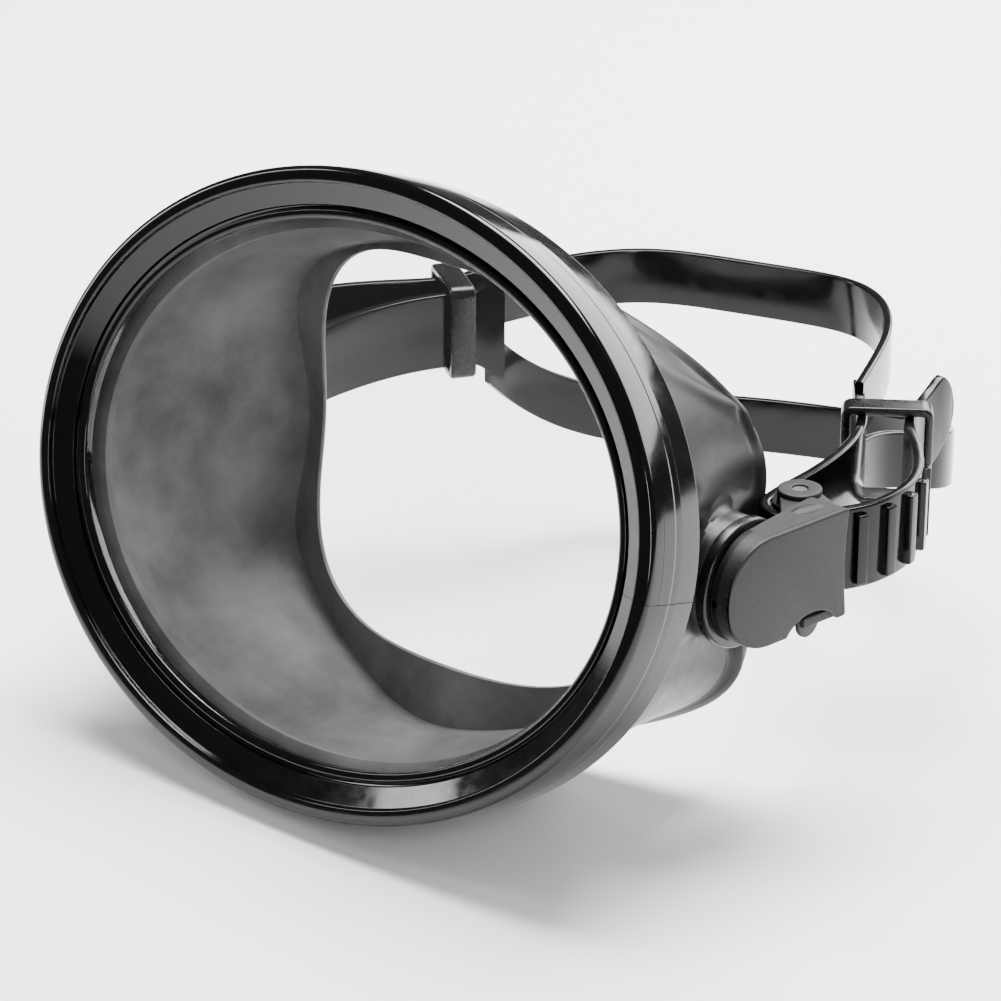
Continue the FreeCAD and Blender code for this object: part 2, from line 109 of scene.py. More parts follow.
def grid(rows, columns, around_rows=False, around_columns=False):
    """Quads between rows x columns of points, closing up either way."""
    faces = []
    for i in range(rows if around_rows else rows - 1):
        for j in range(columns if around_columns else columns - 1):
            a, b = i * columns, ((i + 1) % rows) * columns
            k = (j + 1) % columns
            faces.append((a + j, b + j, b + k, a + k))
    return faces


def tube_with_ends(sections):
    """Closed sections in a row, skinned, with a face over each end."""
    n, m = len(sections), len(sections[0])
    faces = grid(n, m, around_columns=True)
    faces += [tuple(range(m)), tuple(reversed(range((n - 1) * m, n * m)))]
    return np.concatenate(sections), faces


def rounded(outline, steps=5):
    """A closed 2-D outline of (x, y, radius) corners, each turned into an arc."""
    result = []
    count = len(outline)
    for i, (x, y, radius) in enumerate(outline):
        here = np.array([x, y], float)
        back = np.array(outline[i - 1][:2], float) - here
        ahead = np.array(outline[(i + 1) % count][:2], float) - here
        room = 0.49 * min(np.linalg.norm(back), np.linalg.norm(ahead))
        back, ahead = back / np.linalg.norm(back), ahead / np.linalg.norm(ahead)
        half = math.acos(np.clip(back @ ahead, -1.0, 1.0)) / 2.0
        if radius <= 0.0 or half > 1.56:
            result.append(here)
            continue
        cut = min(radius / math.tan(half), room)
        start, end = here + back * cut, here + ahead * cut
        for k in range(steps + 1):
            u = k / steps
            result.append((1 - u) ** 2 * start + 2 * u * (1 - u) * here + u ** 2 * end)
    return np.array(result)


def inward(outline, distance):
    """The outline moved in by distance; works for outlines given counter-clockwise."""
    before, after = np.roll(outline, 1, axis=0), np.roll(outline, -1, axis=0)
    along = after - before
    along /= np.maximum(np.linalg.norm(along, axis=1, keepdims=True), 1e-9)
    return outline + np.stack([-along[:, 1], along[:, 0]], 1) * distance


def plate(outline, low, high, edge, place, steps=4):
    """Sections of a flat moulding between two heights, with its rims rounded by edge."""
    arc = [math.pi / 2 * k / steps for k in range(steps + 1)]
    lower = [(edge * (1 - math.sin(a)), edge * (1 - math.cos(a))) for a in arc]
    upper = [(inset, rise) for inset, rise in reversed(lower)]
    sections = [place(inward(outline, inset), low, rise) for inset, rise in lower]
    sections += [place(inward(outline, inset), high, -rise) for inset, rise in upper]
    return tube_with_ends(sections)


def lying(outline, at, rise):
    """Outline of (x, reach) with its thickness up and down."""
    return [(x, y, at + rise) for x, y in outline]


def facing(outline, at, rise):
    """Outline of (reach, height) with its thickness along x."""
    return [(at + rise, u, v) for u, v in outline]


def joined(parts):
    """Several (points, faces) shells as one."""
    points, faces, start = [], [], 0
    for p, f in parts:
        points.append(np.asarray(p))
        faces += [tuple(start + i for i in face) for face in f]
        start += len(p)
    return np.concatenate(points), faces


def flipped(points):
    """The same points on the other side of the mask."""
    return np.asarray(points) * np.array([-1.0, 1.0, 1.0])


square = rounded([(0, 0, 0.2), (1, 0, 0.2), (1, 1, 0.2), (0, 1, 0.2)])
print("a rounded square has", len(square), "points")

# %% [markdown]
# ## Helpers for materials
# Every surface is a node material, so that it can be lit and changed without any picture. One
# function turns an sRGB hex colour to linear light, and one adds a node with its settings and
# links, whatever its kind. Pattern sizes come from real millimetres.

# %% Material helpers
def linear(hex_colour):
    """sRGB hex to linear RGBA."""
    parts = [int(hex_colour[i : i + 2], 16) / 255 for i in (1, 3, 5)]
    return [c / 12.92 if c <= 0.04045 else ((c + 0.055) / 1.055) ** 2.4 for c in parts] + [1.0]


def add(tree, kind, settings=None, **inputs):
    """Adds a node; settings are its properties, inputs are values or sockets to link."""
    node = tree.nodes.new(kind if "Node" in kind else "ShaderNode" + kind)
    for key, value in (settings or {}).items():
        setattr(node, key, value)
    for key, value in inputs.items():
        socket = node.inputs[int(key[1:])] if key[0] == "_" else node.inputs[key.replace("_", " ")]
        if isinstance(value, bpy.types.NodeSocket):
            tree.links.new(value, socket)
        else:
            socket.default_value = value
    return node


def empty_material(name):
    """A material with an empty node tree, and the object coordinates that patterns use."""
    mat = bpy.data.materials.new(name)
    mat.use_nodes = True
    mat.node_tree.nodes.clear()
    return mat, mat.node_tree, add(mat.node_tree, "TexCoord").outputs["Object"]


def per_mm(size):
    """Noise scale, in object coordinates of one metre, for features of this many mm."""
    return 1.0 / (size * MM)


print("white is", linear("#ffffff")[0], "and mid grey", round(linear("#808080")[0], 3))

# %% [markdown]
# ## Black ABS
# The ring is injection-moulded ABS from a polished tool: nearly black, with sharp reflections and
# the faint waviness of a thick moulding that shrank as it cooled. The small parts come from a tool
# that was only stoned, so their shine is satin.

# %% Polished and satin ABS
def moulded_abs(name, colour, smudge_size, dull, wave):
    mat, tree, coords = empty_material(name)
    waves = add(tree, "TexNoise", None, Vector=coords, Scale=per_mm(14.0), Detail=2.0)
    smudge = add(
        tree, "TexNoise", None, Vector=coords, Scale=per_mm(smudge_size), Detail=6.0, Roughness=0.65,
    )
    rough = add(
        tree, "MapRange", None, Value=smudge.outputs["Fac"], From_Min=0.35, From_Max=0.7,
        To_Min=dull[0], To_Max=dull[1],
    )
    bump = add(tree, "Bump", None, Height=waves.outputs["Fac"], Strength=wave, Distance=0.1 * MM)
    shader = add(
        tree, "BsdfPrincipled", None, Base_Color=linear(colour), Roughness=rough.outputs["Result"],
        IOR=1.54, Specular_IOR_Level=0.3, Normal=bump.outputs["Normal"],
    )
    add(tree, "OutputMaterial", None, Surface=shader.outputs["BSDF"])
    return mat


ABS = moulded_abs("polished_moulded_abs", "#060505", 5.0, (0.06, 0.15), 0.12)
SATIN = moulded_abs("satin_moulded_abs", "#0a0909", 3.0, (0.22, 0.34), 0.05)
print("made", ABS.name, SATIN.name)

# %% [markdown]
# ## Silicone
# Skirt and strap are compression-moulded silicone. The skirt is semi-gloss outside; inside it is
# painted a lighter grey in soft cloudy patches of about 30 mm, a painted reflection of the bright
# surround mirrored in the lens. An attribute on the mesh says which side is which. The strap comes
# from a polished tool, so it shines more.

# %% Silicone for the skirt and the strap
def skirt_silicone():
    mat, tree, coords = empty_material("silicone_with_painted_inner_reflection")
    inner = add(tree, "Attribute", {"attribute_name": "inner"}).outputs["Fac"]
    cloud = add(
        tree, "TexNoise", None, Vector=coords, Scale=per_mm(30.0), Detail=7.0, Roughness=0.62,
        Distortion=0.15,
    ).outputs["Fac"]
    fine = add(
        tree, "TexNoise", None, Vector=coords, Scale=per_mm(3.0), Detail=8.0, Roughness=0.7,
    ).outputs["Fac"]
    # Cloudy patches of the painted reflection on the inside.
    reflection_patches = add(
        tree, "MapRange", None, Value=cloud, From_Min=0.34, From_Max=0.68, To_Min=0.0, To_Max=1.0,
    )
    speck = add(
        tree, "MapRange", None, Value=fine, From_Min=0.4, From_Max=0.75, To_Min=0.0, To_Max=0.35,
    )
    sheen = add(
        tree, "MapRange", None, Value=fine, From_Min=0.3, From_Max=0.7, To_Min=0.30, To_Max=0.42,
    )
    # Painted reflection: the inside gets this lighter grey for the bright surround mirrored in the lens.
    painted_reflection = add(
        tree, "Mix", {"data_type": "RGBA"}, _0=reflection_patches.outputs["Result"], _6=linear("#343434"),
        _7=linear("#646362"),
    )
    black = add(
        tree, "Mix", {"data_type": "RGBA"}, _0=speck.outputs["Result"], _6=linear("#0d0c0c"),
        _7=linear("#171616"),
    )
    colour = add(tree, "Mix", {"data_type": "RGBA"}, _0=inner, _6=black.outputs[2], _7=painted_reflection.outputs[2])
    rough = add(tree, "Mix", {"data_type": "FLOAT"}, _0=inner, _2=sheen.outputs["Result"], _3=0.55)
    bump = add(tree, "Bump", None, Height=fine, Strength=0.25, Distance=0.08 * MM)
    shader = add(
        tree, "BsdfPrincipled", None, Base_Color=colour.outputs[2], Roughness=rough.outputs[0],
        IOR=1.43, Specular_IOR_Level=0.35, Normal=bump.outputs["Normal"],
    )
    add(tree, "OutputMaterial", None, Surface=shader.outputs["BSDF"])
    return mat


def strap_silicone():
    mat, tree, coords = empty_material("glossy_moulded_silicone")
    fine = add(
        tree, "TexNoise", None, Vector=coords, Scale=per_mm(6.0), Detail=6.0, Roughness=0.6,
    ).outputs["Fac"]
    colour = add(
        tree, "Mix", {"data_type": "RGBA"}, _0=fine, _6=linear("#050505"), _7=linear("#0b0a0b"),
    )
    rough = add(
        tree, "MapRange", None, Value=fine, From_Min=0.35, From_Max=0.7, To_Min=0.10, To_Max=0.22,
    )
    bump = add(tree, "Bump", None, Height=fine, Strength=0.15, Distance=0.1 * MM)
    shader = add(
        tree, "BsdfPrincipled", None, Base_Color=colour.outputs[2], Roughness=rough.outputs["Result"],
        IOR=1.43, Specular_IOR_Level=0.3, Normal=bump.outputs["Normal"],
    )
    add(tree, "OutputMaterial", None, Surface=shader.outputs["BSDF"])
    return mat


SKIRT, STRAP = skirt_silicone(), strap_silicone()
print("made", SKIRT.name, STRAP.name)

# %% [markdown]
# ## Nylon, steel and glass
# The buckles are glass-filled nylon from a spark-eroded tool, so their light is broad and grainy.
# The grain is 0.35 mm: real spark erosion is finer and would not show. Pins and springs are turned
# and drawn stainless steel, dulled by salt water. The lens is tempered float glass, and lamps'
# shadow rays go straight through it so that the skirt behind it is lit.

# %% Textured nylon, steel and glass
def textured_nylon():
    mat, tree, coords = empty_material("spark_textured_nylon")
    grain = add(
        tree, "TexNoise", None, Vector=coords, Scale=per_mm(0.35), Detail=3.0, Roughness=0.6,
    ).outputs["Fac"]
    wear = add(tree, "TexNoise", None, Vector=coords, Scale=per_mm(7.0), Detail=5.0).outputs["Fac"]
    colour = add(
        tree, "Mix", {"data_type": "RGBA"}, _0=wear, _6=linear("#0f0e0e"), _7=linear("#181616"),
    )
    rough = add(
        tree, "MapRange", None, Value=grain, From_Min=0.3, From_Max=0.7, To_Min=0.45, To_Max=0.62,
    )
    bump = add(tree, "Bump", None, Height=grain, Strength=0.5, Distance=0.06 * MM)
    shader = add(
        tree, "BsdfPrincipled", None, Base_Color=colour.outputs[2], Roughness=rough.outputs["Result"],
        IOR=1.53, Specular_IOR_Level=0.3, Normal=bump.outputs["Normal"],
    )
    add(tree, "OutputMaterial", None, Surface=shader.outputs["BSDF"])
    return mat


def turned_steel():
    mat, tree, coords = empty_material("turned_stainless_steel")
    scratch = add(tree, "TexNoise", None, Vector=coords, Scale=per_mm(0.6), Detail=4.0)
    rough = add(
        tree, "MapRange", None, Value=scratch.outputs["Fac"], From_Min=0.3, From_Max=0.7, To_Min=0.28,
        To_Max=0.45,
    )
    shader = add(
        tree, "BsdfPrincipled", None, Base_Color=linear("#6f6f72"), Metallic=1.0,
        Roughness=rough.outputs["Result"],
    )
    add(tree, "OutputMaterial", None, Surface=shader.outputs["BSDF"])
    return mat


def tempered_glass():
    mat, tree, coords = empty_material("tempered_float_glass")
    shader = add(
        tree, "BsdfPrincipled", None, Base_Color=linear("#fafafa"), Transmission_Weight=1.0,
        Roughness=0.0, IOR=1.52,
    )
    clear = add(tree, "BsdfTransparent")
    path = add(tree, "LightPath")
    mix = add(
        tree, "MixShader", None, _0=path.outputs["Is Shadow Ray"], _1=shader.outputs["BSDF"],
        _2=clear.outputs["BSDF"],
    )
    add(tree, "OutputMaterial", None, Surface=mix.outputs["Shader"])
    return mat


NYLON, STEEL, GLASS = textured_nylon(), turned_steel(), tempered_glass()
print("made", NYLON.name, STEEL.name, GLASS.name)

# %% [markdown]
# ## Handing a piece over
# Each finished piece gets a material and the body it moves with, and the CAD parts it stands for are
# hidden. One function does this for all of them, so no piece can miss a step.

# %% Handing over
def finish_piece(obj, mat, body, slot, *replaced):
    """Material, body and the CAD nodes that a piece stands for; the slot argument is not used."""
    obj.data.materials.clear()
    obj.data.materials.append(mat)
    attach(obj, body)
    if replaced:
        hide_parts(*replaced)
    return obj


# %% [markdown]
# ## The frame
# The ring's section is one moulding: a round bead in front, a band that slopes in to the lens, a
# thin step, a groove and a rounded lip. It could be bevelled from a curve, but a section whose
# corners are real arcs, carried round the oval, keeps each highlight where it should be.

# %% Section and oval
half_width, half_height, ring_depth = 82.0, 65.6, 17.0
section = rounded(
    [
        (0.6, 17.0, 0.5),
        (0.4, 10.6, 0.12),
        (0.1, 10.2, 0.15),
        (0.1, 8.2, 0.15),
        (0.0, 7.7, 0.15),
        (0.0, 0.0, 1.9),
        (3.5, 0.0, 1.5),
        (3.5, 1.45, 0.35),
        (7.8, 3.3, 0.12),
        (7.9, 4.3, 0.12),
        (8.7, 4.7, 0.2),
        (8.8, 3.6, 0.45),
        (10.7, 3.75, 0.9),
        (10.7, 6.15, 0.1),
        (3.4, 6.15, 0.1),
        (3.4, 15.0, 0.1),
        (5.6, 15.0, 0.1),
        (5.6, 17.0, 0.3),
    ]
)


def round_oval(inset, depth, t):
    """A point of the ring in the mask's upright frame, in mm."""
    return np.array([(half_width - inset) * math.cos(t), depth, (half_height - inset) * math.sin(t)])


def ring_mesh(steps=320):
    points = [round_oval(i, d, 2 * math.pi * k / steps) for k in range(steps) for i, d in section]
    return lean(points), grid(steps, len(section), True, True)


ring = piece("ring_blank", *ring_mesh())
print("ring section", len(section), "points")

# %% [markdown]
# The frame is two halves that meet on the lens's long axis, and each side wall holds a joint key.
# Booleans cut them from one blank, with under a tenth of a millimetre between parts, so the hairline
# seams are real gaps that catch the light.

# %% Cut the halves and the keys
seam = 0.08


def block_in_mask(corners):
    """A box in the mask's upright frame, as a cutter."""
    (x0, x1), (y0, y1), (z0, z1) = corners
    points = [(x, y, z) for x in (x0, x1) for y in (y0, y1) for z in (z0, z1)]
    faces = [(0, 1, 3, 2), (4, 6, 7, 5), (0, 4, 5, 1), (2, 3, 7, 6), (0, 2, 6, 4), (1, 5, 7, 3)]
    return lean(points), faces


def key_cutter(side, gap):
    """Outer skin of the side wall above the seam, with a toothed top edge."""
    front, top, middle, tooth, skin = 4.2 - gap, 25.0 + gap, 10.6, 2.6, 2.0
    edge = [
        (front, top - tooth), (middle - 1.1, top), (middle, top + tooth), (middle + 1.1, top - 1.3),
        (19.0, top),
    ]
    rows = []
    for depth, height in edge:
        for inset in (skin + gap, -3.0):
            a, b = half_width - inset, half_height - inset
            low, high = math.asin((seam - gap) / b), math.asin(height / b)
            rows.append(
                [(side * a * math.cos(u), depth, b * math.sin(u)) for u in np.linspace(low, high, 14)]
            )
    n, m = len(edge), 14
    rows = np.array(rows).reshape(n, 2, m, 3)
    loops = [np.concatenate([rows[i, 0], rows[i, 1][::-1]]) for i in range(n)]
    points, faces = tube_with_ends(loops)
    return lean(points), faces


def cut(blank, name, steps):
    """A copy of blank after boolean steps of (operation, cutter)."""
    work = bpy.data.objects.new(name, blank.data.copy())
    bpy.context.scene.collection.objects.link(work)
    for operation, cutter in steps:
        modifier = work.modifiers.new(operation, "BOOLEAN")
        modifier.operation = operation
        modifier.object = cutter
        modifier.solver = "EXACT"
    graph = bpy.context.evaluated_depsgraph_get()
    mesh = bpy.data.meshes.new_from_object(work.evaluated_get(graph))
    mesh.name = name
    work.modifiers.clear()
    work.data = mesh
    mesh.shade_smooth()
    mesh.set_sharp_from_angle(angle=math.radians(32))
    return work


above = piece("above", *block_in_mask(((-100, 100), (-20, 60), (seam / 2, 100))))
below = piece("below", *block_in_mask(((-100, 100), (-20, 60), (-100, -seam / 2))))
recesses = {s: piece("recess", *key_cutter(s, 0.09)) for s in (1, -1)}
blanks = {s: piece("key_blank", *key_cutter(s, 0.0)) for s in (1, -1)}
upper = cut(
    ring, "frame_half_upper",
    [("INTERSECT", above), ("DIFFERENCE", recesses[1]), ("DIFFERENCE", recesses[-1])],
)
lower = cut(ring, "frame_half_lower", [("INTERSECT", below)])
finish_piece(upper, ABS, "mask", "frame", "frame_upper")
finish_piece(lower, ABS, "mask", "frame", "frame_lower")
for side, word in ((1, "right"), (-1, "left")):
    key = cut(ring, "joint_key_" + word, [("INTERSECT", blanks[side])])
    finish_piece(key, ABS, "mask", "frame", "frame_key_" + word)
for tool in [ring, above, below] + list(recesses.values()) + list(blanks.values()):
    bpy.data.objects.remove(tool)
print("frame faces", len(upper.data.polygons), len(lower.data.polygons))

# %% [markdown]
# ## The skirt
# The silicone skirt starts as a flange behind the glass, flows back to the temples and chin, and
# rolls in to a thin sealing lip. Its wall is two sheets of curves, so it is a grid: one way round
# the face, the other way from flange to lip and back inside.

# %% Curves of the skirt
neck_inset, wall = 6.9, 2.2
rim_half_width = 61.5
rim_middle = ring_depth + 37.0
opening_inset, opening_rise = 10.0, 5.0


def face_depth(t, side_reach):
    """How far behind the ring's front the face is at angle t: temples back, brow less than chin."""
    return rim_middle + side_reach * math.cos(2 * t) - 11.5 * math.sin(t)


def rim_depth(t):
    return face_depth(t, 12.5) + 3.0 * math.sin(2 * t) ** 2


rim_drop = (rim_depth(-math.pi / 2) - ring_depth) * math.tan(lean_angle)
rim_half_height = half_height - 0.6 - rim_drop


def rim_point(t, inset, forward):
    bulge, upper = math.sin(2 * t) ** 2, math.sin(t) > 0
    x = (rim_half_width - inset) * math.cos(t) * (1.0 + (0.25 if upper else 0.20) * bulge)
    z = (rim_half_height - inset) * math.sin(t) * (1.0 if upper else 1.0 - 0.10 * bulge)
    return np.array([x, rim_depth(t) - forward, z])


def opening_point(t, forward):
    """The free edge of the sealing lip, round the face."""
    corner = 1.0 + 0.10 * math.sin(2 * t) ** 2
    x = (rim_half_width - opening_inset) * math.cos(t) * corner
    z = (rim_half_height - opening_inset) * math.sin(t) * corner + opening_rise
    return np.array([x, face_depth(t, 10.0) - forward, z])


def smooth_bump(value, centre, width):
    return math.exp(-(((value - centre) / width) ** 2))


def relief(t, share):
    """Raised (+) and sunk (-) features of the wall's outside, in mm, the same on both sides."""
    side = math.asin(max(-1.0, min(1.0, math.sin(t))))
    degrees = math.degrees(side)
    clear_of_ring, clear_of_rim = min(1.0, share * 8.0), min(1.0, (1.0 - share) * 8.0)
    ridge = 1.1 * smooth_bump(degrees, 47.0 - 9.0 * share, 2.6) * min(1.0, share * 5.0) * clear_of_rim
    spared = (1.0 - smooth_bump(degrees, -90.0, 30.0)) * (1.0 - smooth_bump(degrees, 12.0, 26.0))
    bead = spared * (1.0 * smooth_bump(share, 0.955, 0.022) - 0.5 * smooth_bump(share, 0.90, 0.022))
    pocket_top = 1.0 + math.exp((degrees - (11.0 + 7.0 * share)) / 1.1)
    pocket_bottom = 1.0 + math.exp((-20.0 - degrees) / 1.5)
    pocket = -1.7 / pocket_top / pocket_bottom * clear_of_ring * clear_of_rim
    leaf = -1.4 * smooth_bump(degrees, 20.0, 1.5) * smooth_bump(share, 0.13, 0.085)
    return ridge + bead + pocket + leaf


def wall_point(t, share, inset):
    """On the side wall: eased from the oval behind the ring to the rim."""
    if inset == 0.0:
        inset = -relief(t, share)
    start = round_oval(neck_inset + inset, ring_depth + 1.5, t)
    end = rim_point(t, inset, inset)
    ease = share * share * (3.0 - 2.0 * share)
    return start + (end - start) * np.array([ease, share, ease])


def skirt_loop(t):
    """One section of the skirt at angle t, from the flange's front, out and back round inside."""
    shares = [i / 56.0 for i in range(57)]
    lens_back, flange_back = lens_front + 4.0, ring_depth - 2.0
    outside = [
        round_oval(3.6, lens_back + 0.05, t), round_oval(3.6, flange_back - 0.05, t),
        round_oval(neck_inset, flange_back, t),
    ]
    outside += [wall_point(t, s, 0.0) for s in shares]
    lip_out, lip_in = opening_point(t, 4.2), opening_point(t, 5.4)
    outer_end, inner_end = outside[-1], wall_point(t, 1.0, wall)
    roll = [
        outer_end + (lip_out - outer_end) * u + np.array([0, 0.9 * math.sin(math.pi * u), 0])
        for u in (0.15, 0.35, 0.55, 0.75, 0.92)
    ]
    edge = [lip_out * 0.5 + lip_in * 0.5 + (lip_out - outer_end) * 0.03]
    under = [lip_in + (inner_end - lip_in) * u for u in (0.1, 0.35, 0.6, 0.85)]
    inside = [wall_point(t, s, wall) for s in reversed(shares)]
    seat = [
        round_oval(neck_inset + wall, lens_back + 3.4, t), round_oval(12.0, lens_back + 2.6, t),
        round_oval(12.4, lens_back + 0.1, t),
    ]
    loop = outside + roll + [lip_out] + edge + [lip_in] + under + inside + seat
    inner = [0.0] * (len(outside) + 4) + [1.0] * (len(loop) - len(outside) - 4)
    return loop, inner


print("rim drop", round(rim_drop, 1), "mm, half height", round(rim_half_height, 1), "mm")

# %% [markdown]
# The skirt is one grid from these loops. A buckle pad stands on each cheek, as it is moulded on the
# real skirt: rays find the wall under it, so that the drum flares into the curved skin. Each point
# also says if it is inside, where a painted reflection makes the rubber a lighter grey.

# %% Skirt with its pads
steps = 480
loops = [skirt_loop(2 * math.pi * k / steps) for k in range(steps)]
size = len(loops[0][0])
skirt_points = lean([p for loop, inner in loops for p in loop])
skirt_faces = grid(steps, size, True, True)
skin = BVHTree.FromPolygons([tuple(p) for p in skirt_points], skirt_faces)


def pedestal(outer_x, spokes=72):
    """Moulded pad that carries a buckle: a drum that flares into the wall it stands on."""
    profile = [
        (0.0, 1.0), (8.0, 1.0), (12.5, 1.0), (12.9, 0.985), (13.05, 0.93), (13.15, 0.5), (13.5, 0.22),
        (14.4, 0.07), (16.0, -0.012),
    ]
    last = {}
    top, under = [], []
    for radius, share in profile:
        for k in range(spokes):
            a = 2 * math.pi * k / spokes
            y, z = pivot.y + radius * MM * math.cos(a), pivot.z + radius * MM * math.sin(a)
            hit = skin.ray_cast(Vector((0.2, y, z)), Vector((-1, 0, 0)))[0]
            if hit is not None and hit.x > 0.03:
                last[k] = hit.x
            wall_x = last[k]
            top.append((wall_x + (outer_x - wall_x) * share, y, z))
            under.append((wall_x - 0.2 * MM, y, z))
    rings = [top[i : i + spokes] for i in range(0, len(top), spokes)]
    rings += [under[i : i + spokes] for i in reversed(range(0, len(under), spokes))]
    return np.concatenate(rings), grid(len(rings), spokes, False, True)


pad = pedestal(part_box("buckle_base_right")[0].x - 0.05 * MM)
skirt_points, skirt_faces = joined([(skirt_points, skirt_faces), pad, (flipped(pad[0]), pad[1])])
skirt = piece("moulded_skirt", skirt_points, skirt_faces, 50.0)
# The inner flag marks where the skirt's material paints its lighter reflection grey.
flags = [v for loop, inner in loops for v in inner]
flags += [0.0] * (len(skirt.data.vertices) - len(flags))
attribute = skirt.data.attributes.new("inner", "FLOAT", "POINT")
attribute.data.foreach_set("value", flags)
finish_piece(skirt, SKIRT, "mask", "skirt", "skirt")
print("skirt", len(skirt.data.vertices), "of", len(flags))

# %% [markdown]
# ## Paths for the strap
# The strap is silicone ribbon stood on edge. Its routes are smooth curves through a few points, so
# a cubic spline gives even bends, and its tangent turns the section as the ribbon turns.

# %% Spline through points
def spline(points, count):
    """Evenly spaced points and unit tangents of a natural cubic spline through points."""
    p = np.asarray(points, float)
    t = np.concatenate([[0.0], np.cumsum(np.linalg.norm(np.diff(p, axis=0), axis=1))])
    h, n = np.diff(t), len(p)
    system, right = np.eye(n), np.zeros_like(p)
    for i in range(1, n - 1):
        system[i, i - 1 : i + 2] = h[i - 1], 2 * (h[i - 1] + h[i]), h[i]
        right[i] = 6 * ((p[i + 1] - p[i]) / h[i] - (p[i] - p[i - 1]) / h[i - 1])
    bend = np.linalg.solve(system, right)

    def at(u):
        i = np.clip(np.searchsorted(t, u, side="right") - 1, 0, n - 2)
        a, b, w = (t[i + 1] - u)[:, None], (u - t[i])[:, None], h[i][:, None]
        first = bend[i] * a**3 / (6 * w) + bend[i + 1] * b**3 / (6 * w)
        return first + (p[i] / w - bend[i] * w / 6) * a + (p[i + 1] / w - bend[i + 1] * w / 6) * b

    fine = np.linspace(0, t[-1], 40 * n)
    curve = at(fine)
    run = np.concatenate([[0.0], np.cumsum(np.linalg.norm(np.diff(curve, axis=0), axis=1))])
    even = at(np.interp(np.linspace(0, run[-1], count), run, fine))
    along = np.gradient(even, axis=0)
    return even, along / np.linalg.norm(along, axis=1, keepdims=True), run[-1]


def level(points):
    """Points measured in mm from the swivel, x from the middle of the mask, to metres."""
    return np.asarray(points, float) * MM + np.array([0.0, pivot.y, pivot.z])


roller_x = roller_at.x / MM
roller_reach = (roller_at.y - pivot.y) / MM
strap_thick, strap_tall, band_thick, band_tall = 2.2, 18.0, 1.9, 13.2
wrap_radius = 5.5 + 0.4 + strap_thick / 2
fork_x = roller_x - 24.2
inner_route = [
    (roller_x - wrap_radius + x, y, 0)
    for x, y in ((wrap_radius - 24.2, 77), (-9.7, 68), (-4.7, 58.5), (-1.6, 46.5), (-0.5, 34.5))
]
turn_route = [
    (roller_x - wrap_radius * math.cos(a), roller_reach - wrap_radius * math.sin(a), 0)
    for a in np.radians(range(0, 181, 30))
]
outer_route = [
    (roller_x + wrap_radius + x, y, 0)
    for x, y in (
        (3, 29), (4.8, 36.5), (3.8, 46.5), (-1.2, 56.5), (-8.2, 65), (-14.6, 72.5), (-18.0, 80.5),
        (-18.6, 94),
    )
]
upper_route = [
    (-1.05, 74, 6.8), (-1, 84.5, 6.6), (-0.93, 97.5, 6), (-0.72, 110.5, 6), (-0.37, 120.5, 5),
    (-0.04, 125, 5), (0.29, 125.5, 5.5), (0.57, 117, 6), (0.8, 101.5, 6.5), (0.94, 87, 6.8),
    (1.05, 74, 6.8),
]
lower_route = [
    (-1.05, 74, -7.4), (-1.05, 81.5, -14), (-1, 90.5, -21), (-0.84, 101.5, -27), (-0.33, 119.5, -29),
    (0.2, 128.5, -28), (0.71, 124, -22.5), (1.02, 112.5, -16.5), (1.12, 99.5, -12.5), (1.03, 86, -9),
    (1.05, 74, -7.4),
]
print("fork at", round(fork_x, 1), "roller reach", round(roller_reach, 2))

# %% [markdown]
# ## The strap
# Two bands go round the head and meet at a fork by each temple. From there one tongue runs
# through the keeper, round the roller and back out under the cover, with ribs that lock against
# the lever's tooth. The section has softened edges, as moulded silicone has.

# %% Ribbons
def ribbon(points, thickness, tall, count, edge=0.45):
    """A ribbon stood on edge along a route; tall(share) gives its top and bottom there."""
    path, along, length = spline(points, count)
    sections = []
    for i, (middle, heading) in enumerate(zip(path, along)):
        side = np.array([heading[1], -heading[0], 0.0])
        side /= np.linalg.norm(side)
        low, high = tall(i / (count - 1))
        t = thickness / 2
        outline = rounded([(-t, low, edge), (t, low, edge), (t, high, edge), (-t, high, edge)], 3)
        sections.append([middle + side * u + np.array([0, 0, v]) for u, v in outline])
    return np.array(sections), length


def tongue_tall(share):
    """Wider at the fork, and a tail that lifts a little and ends in a half round."""
    spread = max(0.0, 1.0 - share * 22.0)
    spread *= spread * (3.0 - 2.0 * spread)
    tail = (1.0 - share) * tongue_length
    half = strap_tall / 2 * math.sqrt(1.0 - min(1.0, max(0.0, 6.0 - tail) / 6.15) ** 2)
    lift = 4.0 * min(1.0, max(0.0, 15.0 - tail) / 11.0) ** 2
    return lift - half - 4.2 * spread, lift + half + 3.4 * spread


tongue_route = inner_route + turn_route + outer_route
tongue_length = spline(tongue_route, 50)[2]
tongue, _ = ribbon(tongue_route, strap_thick, tongue_tall, 200)
straps = [tube_with_ends(list(tongue)), tube_with_ends(list(flipped(tongue)))]
for route in (upper_route, lower_route):
    across = [(fork_x * x, y, z) for x, y, z in route]
    band, _ = ribbon(across, band_thick, lambda s: (-band_tall / 2, band_tall / 2), 160)
    straps.append(tube_with_ends(list(band)))
strap_points, strap_faces = joined(straps)
print("tongue", round(tongue_length, 1), "mm, strap points", len(strap_points))

# %% [markdown]
# The locking ribs repeat along the outer strand, so Geometry Nodes places them: the strand's curve
# is sampled at even lengths, a rounded bar is put at each point and turned to the tangent, and the
# result joins the strap. On the real strap they are one moulding with it.

# %% Ribs with Geometry Nodes
rib_pitch, rib_count, rib_start = 7.1, 5, 7.0
outer_path = spline([turn_route[-1]] + outer_route, 400)[0]


def rib_bar():
    """One rib: x is its height from the strap's middle, y along the strap, z up."""
    outline = rounded([(0.6, -1.5, 0.1), (2.7, -1.25, 0.35), (2.7, 1.25, 0.35), (0.6, 1.5, 0.1)], 4)
    half = strap_tall / 2 - 1.3
    points, faces = plate(outline, -half, half, 0.35, lying)
    return points * MM, faces


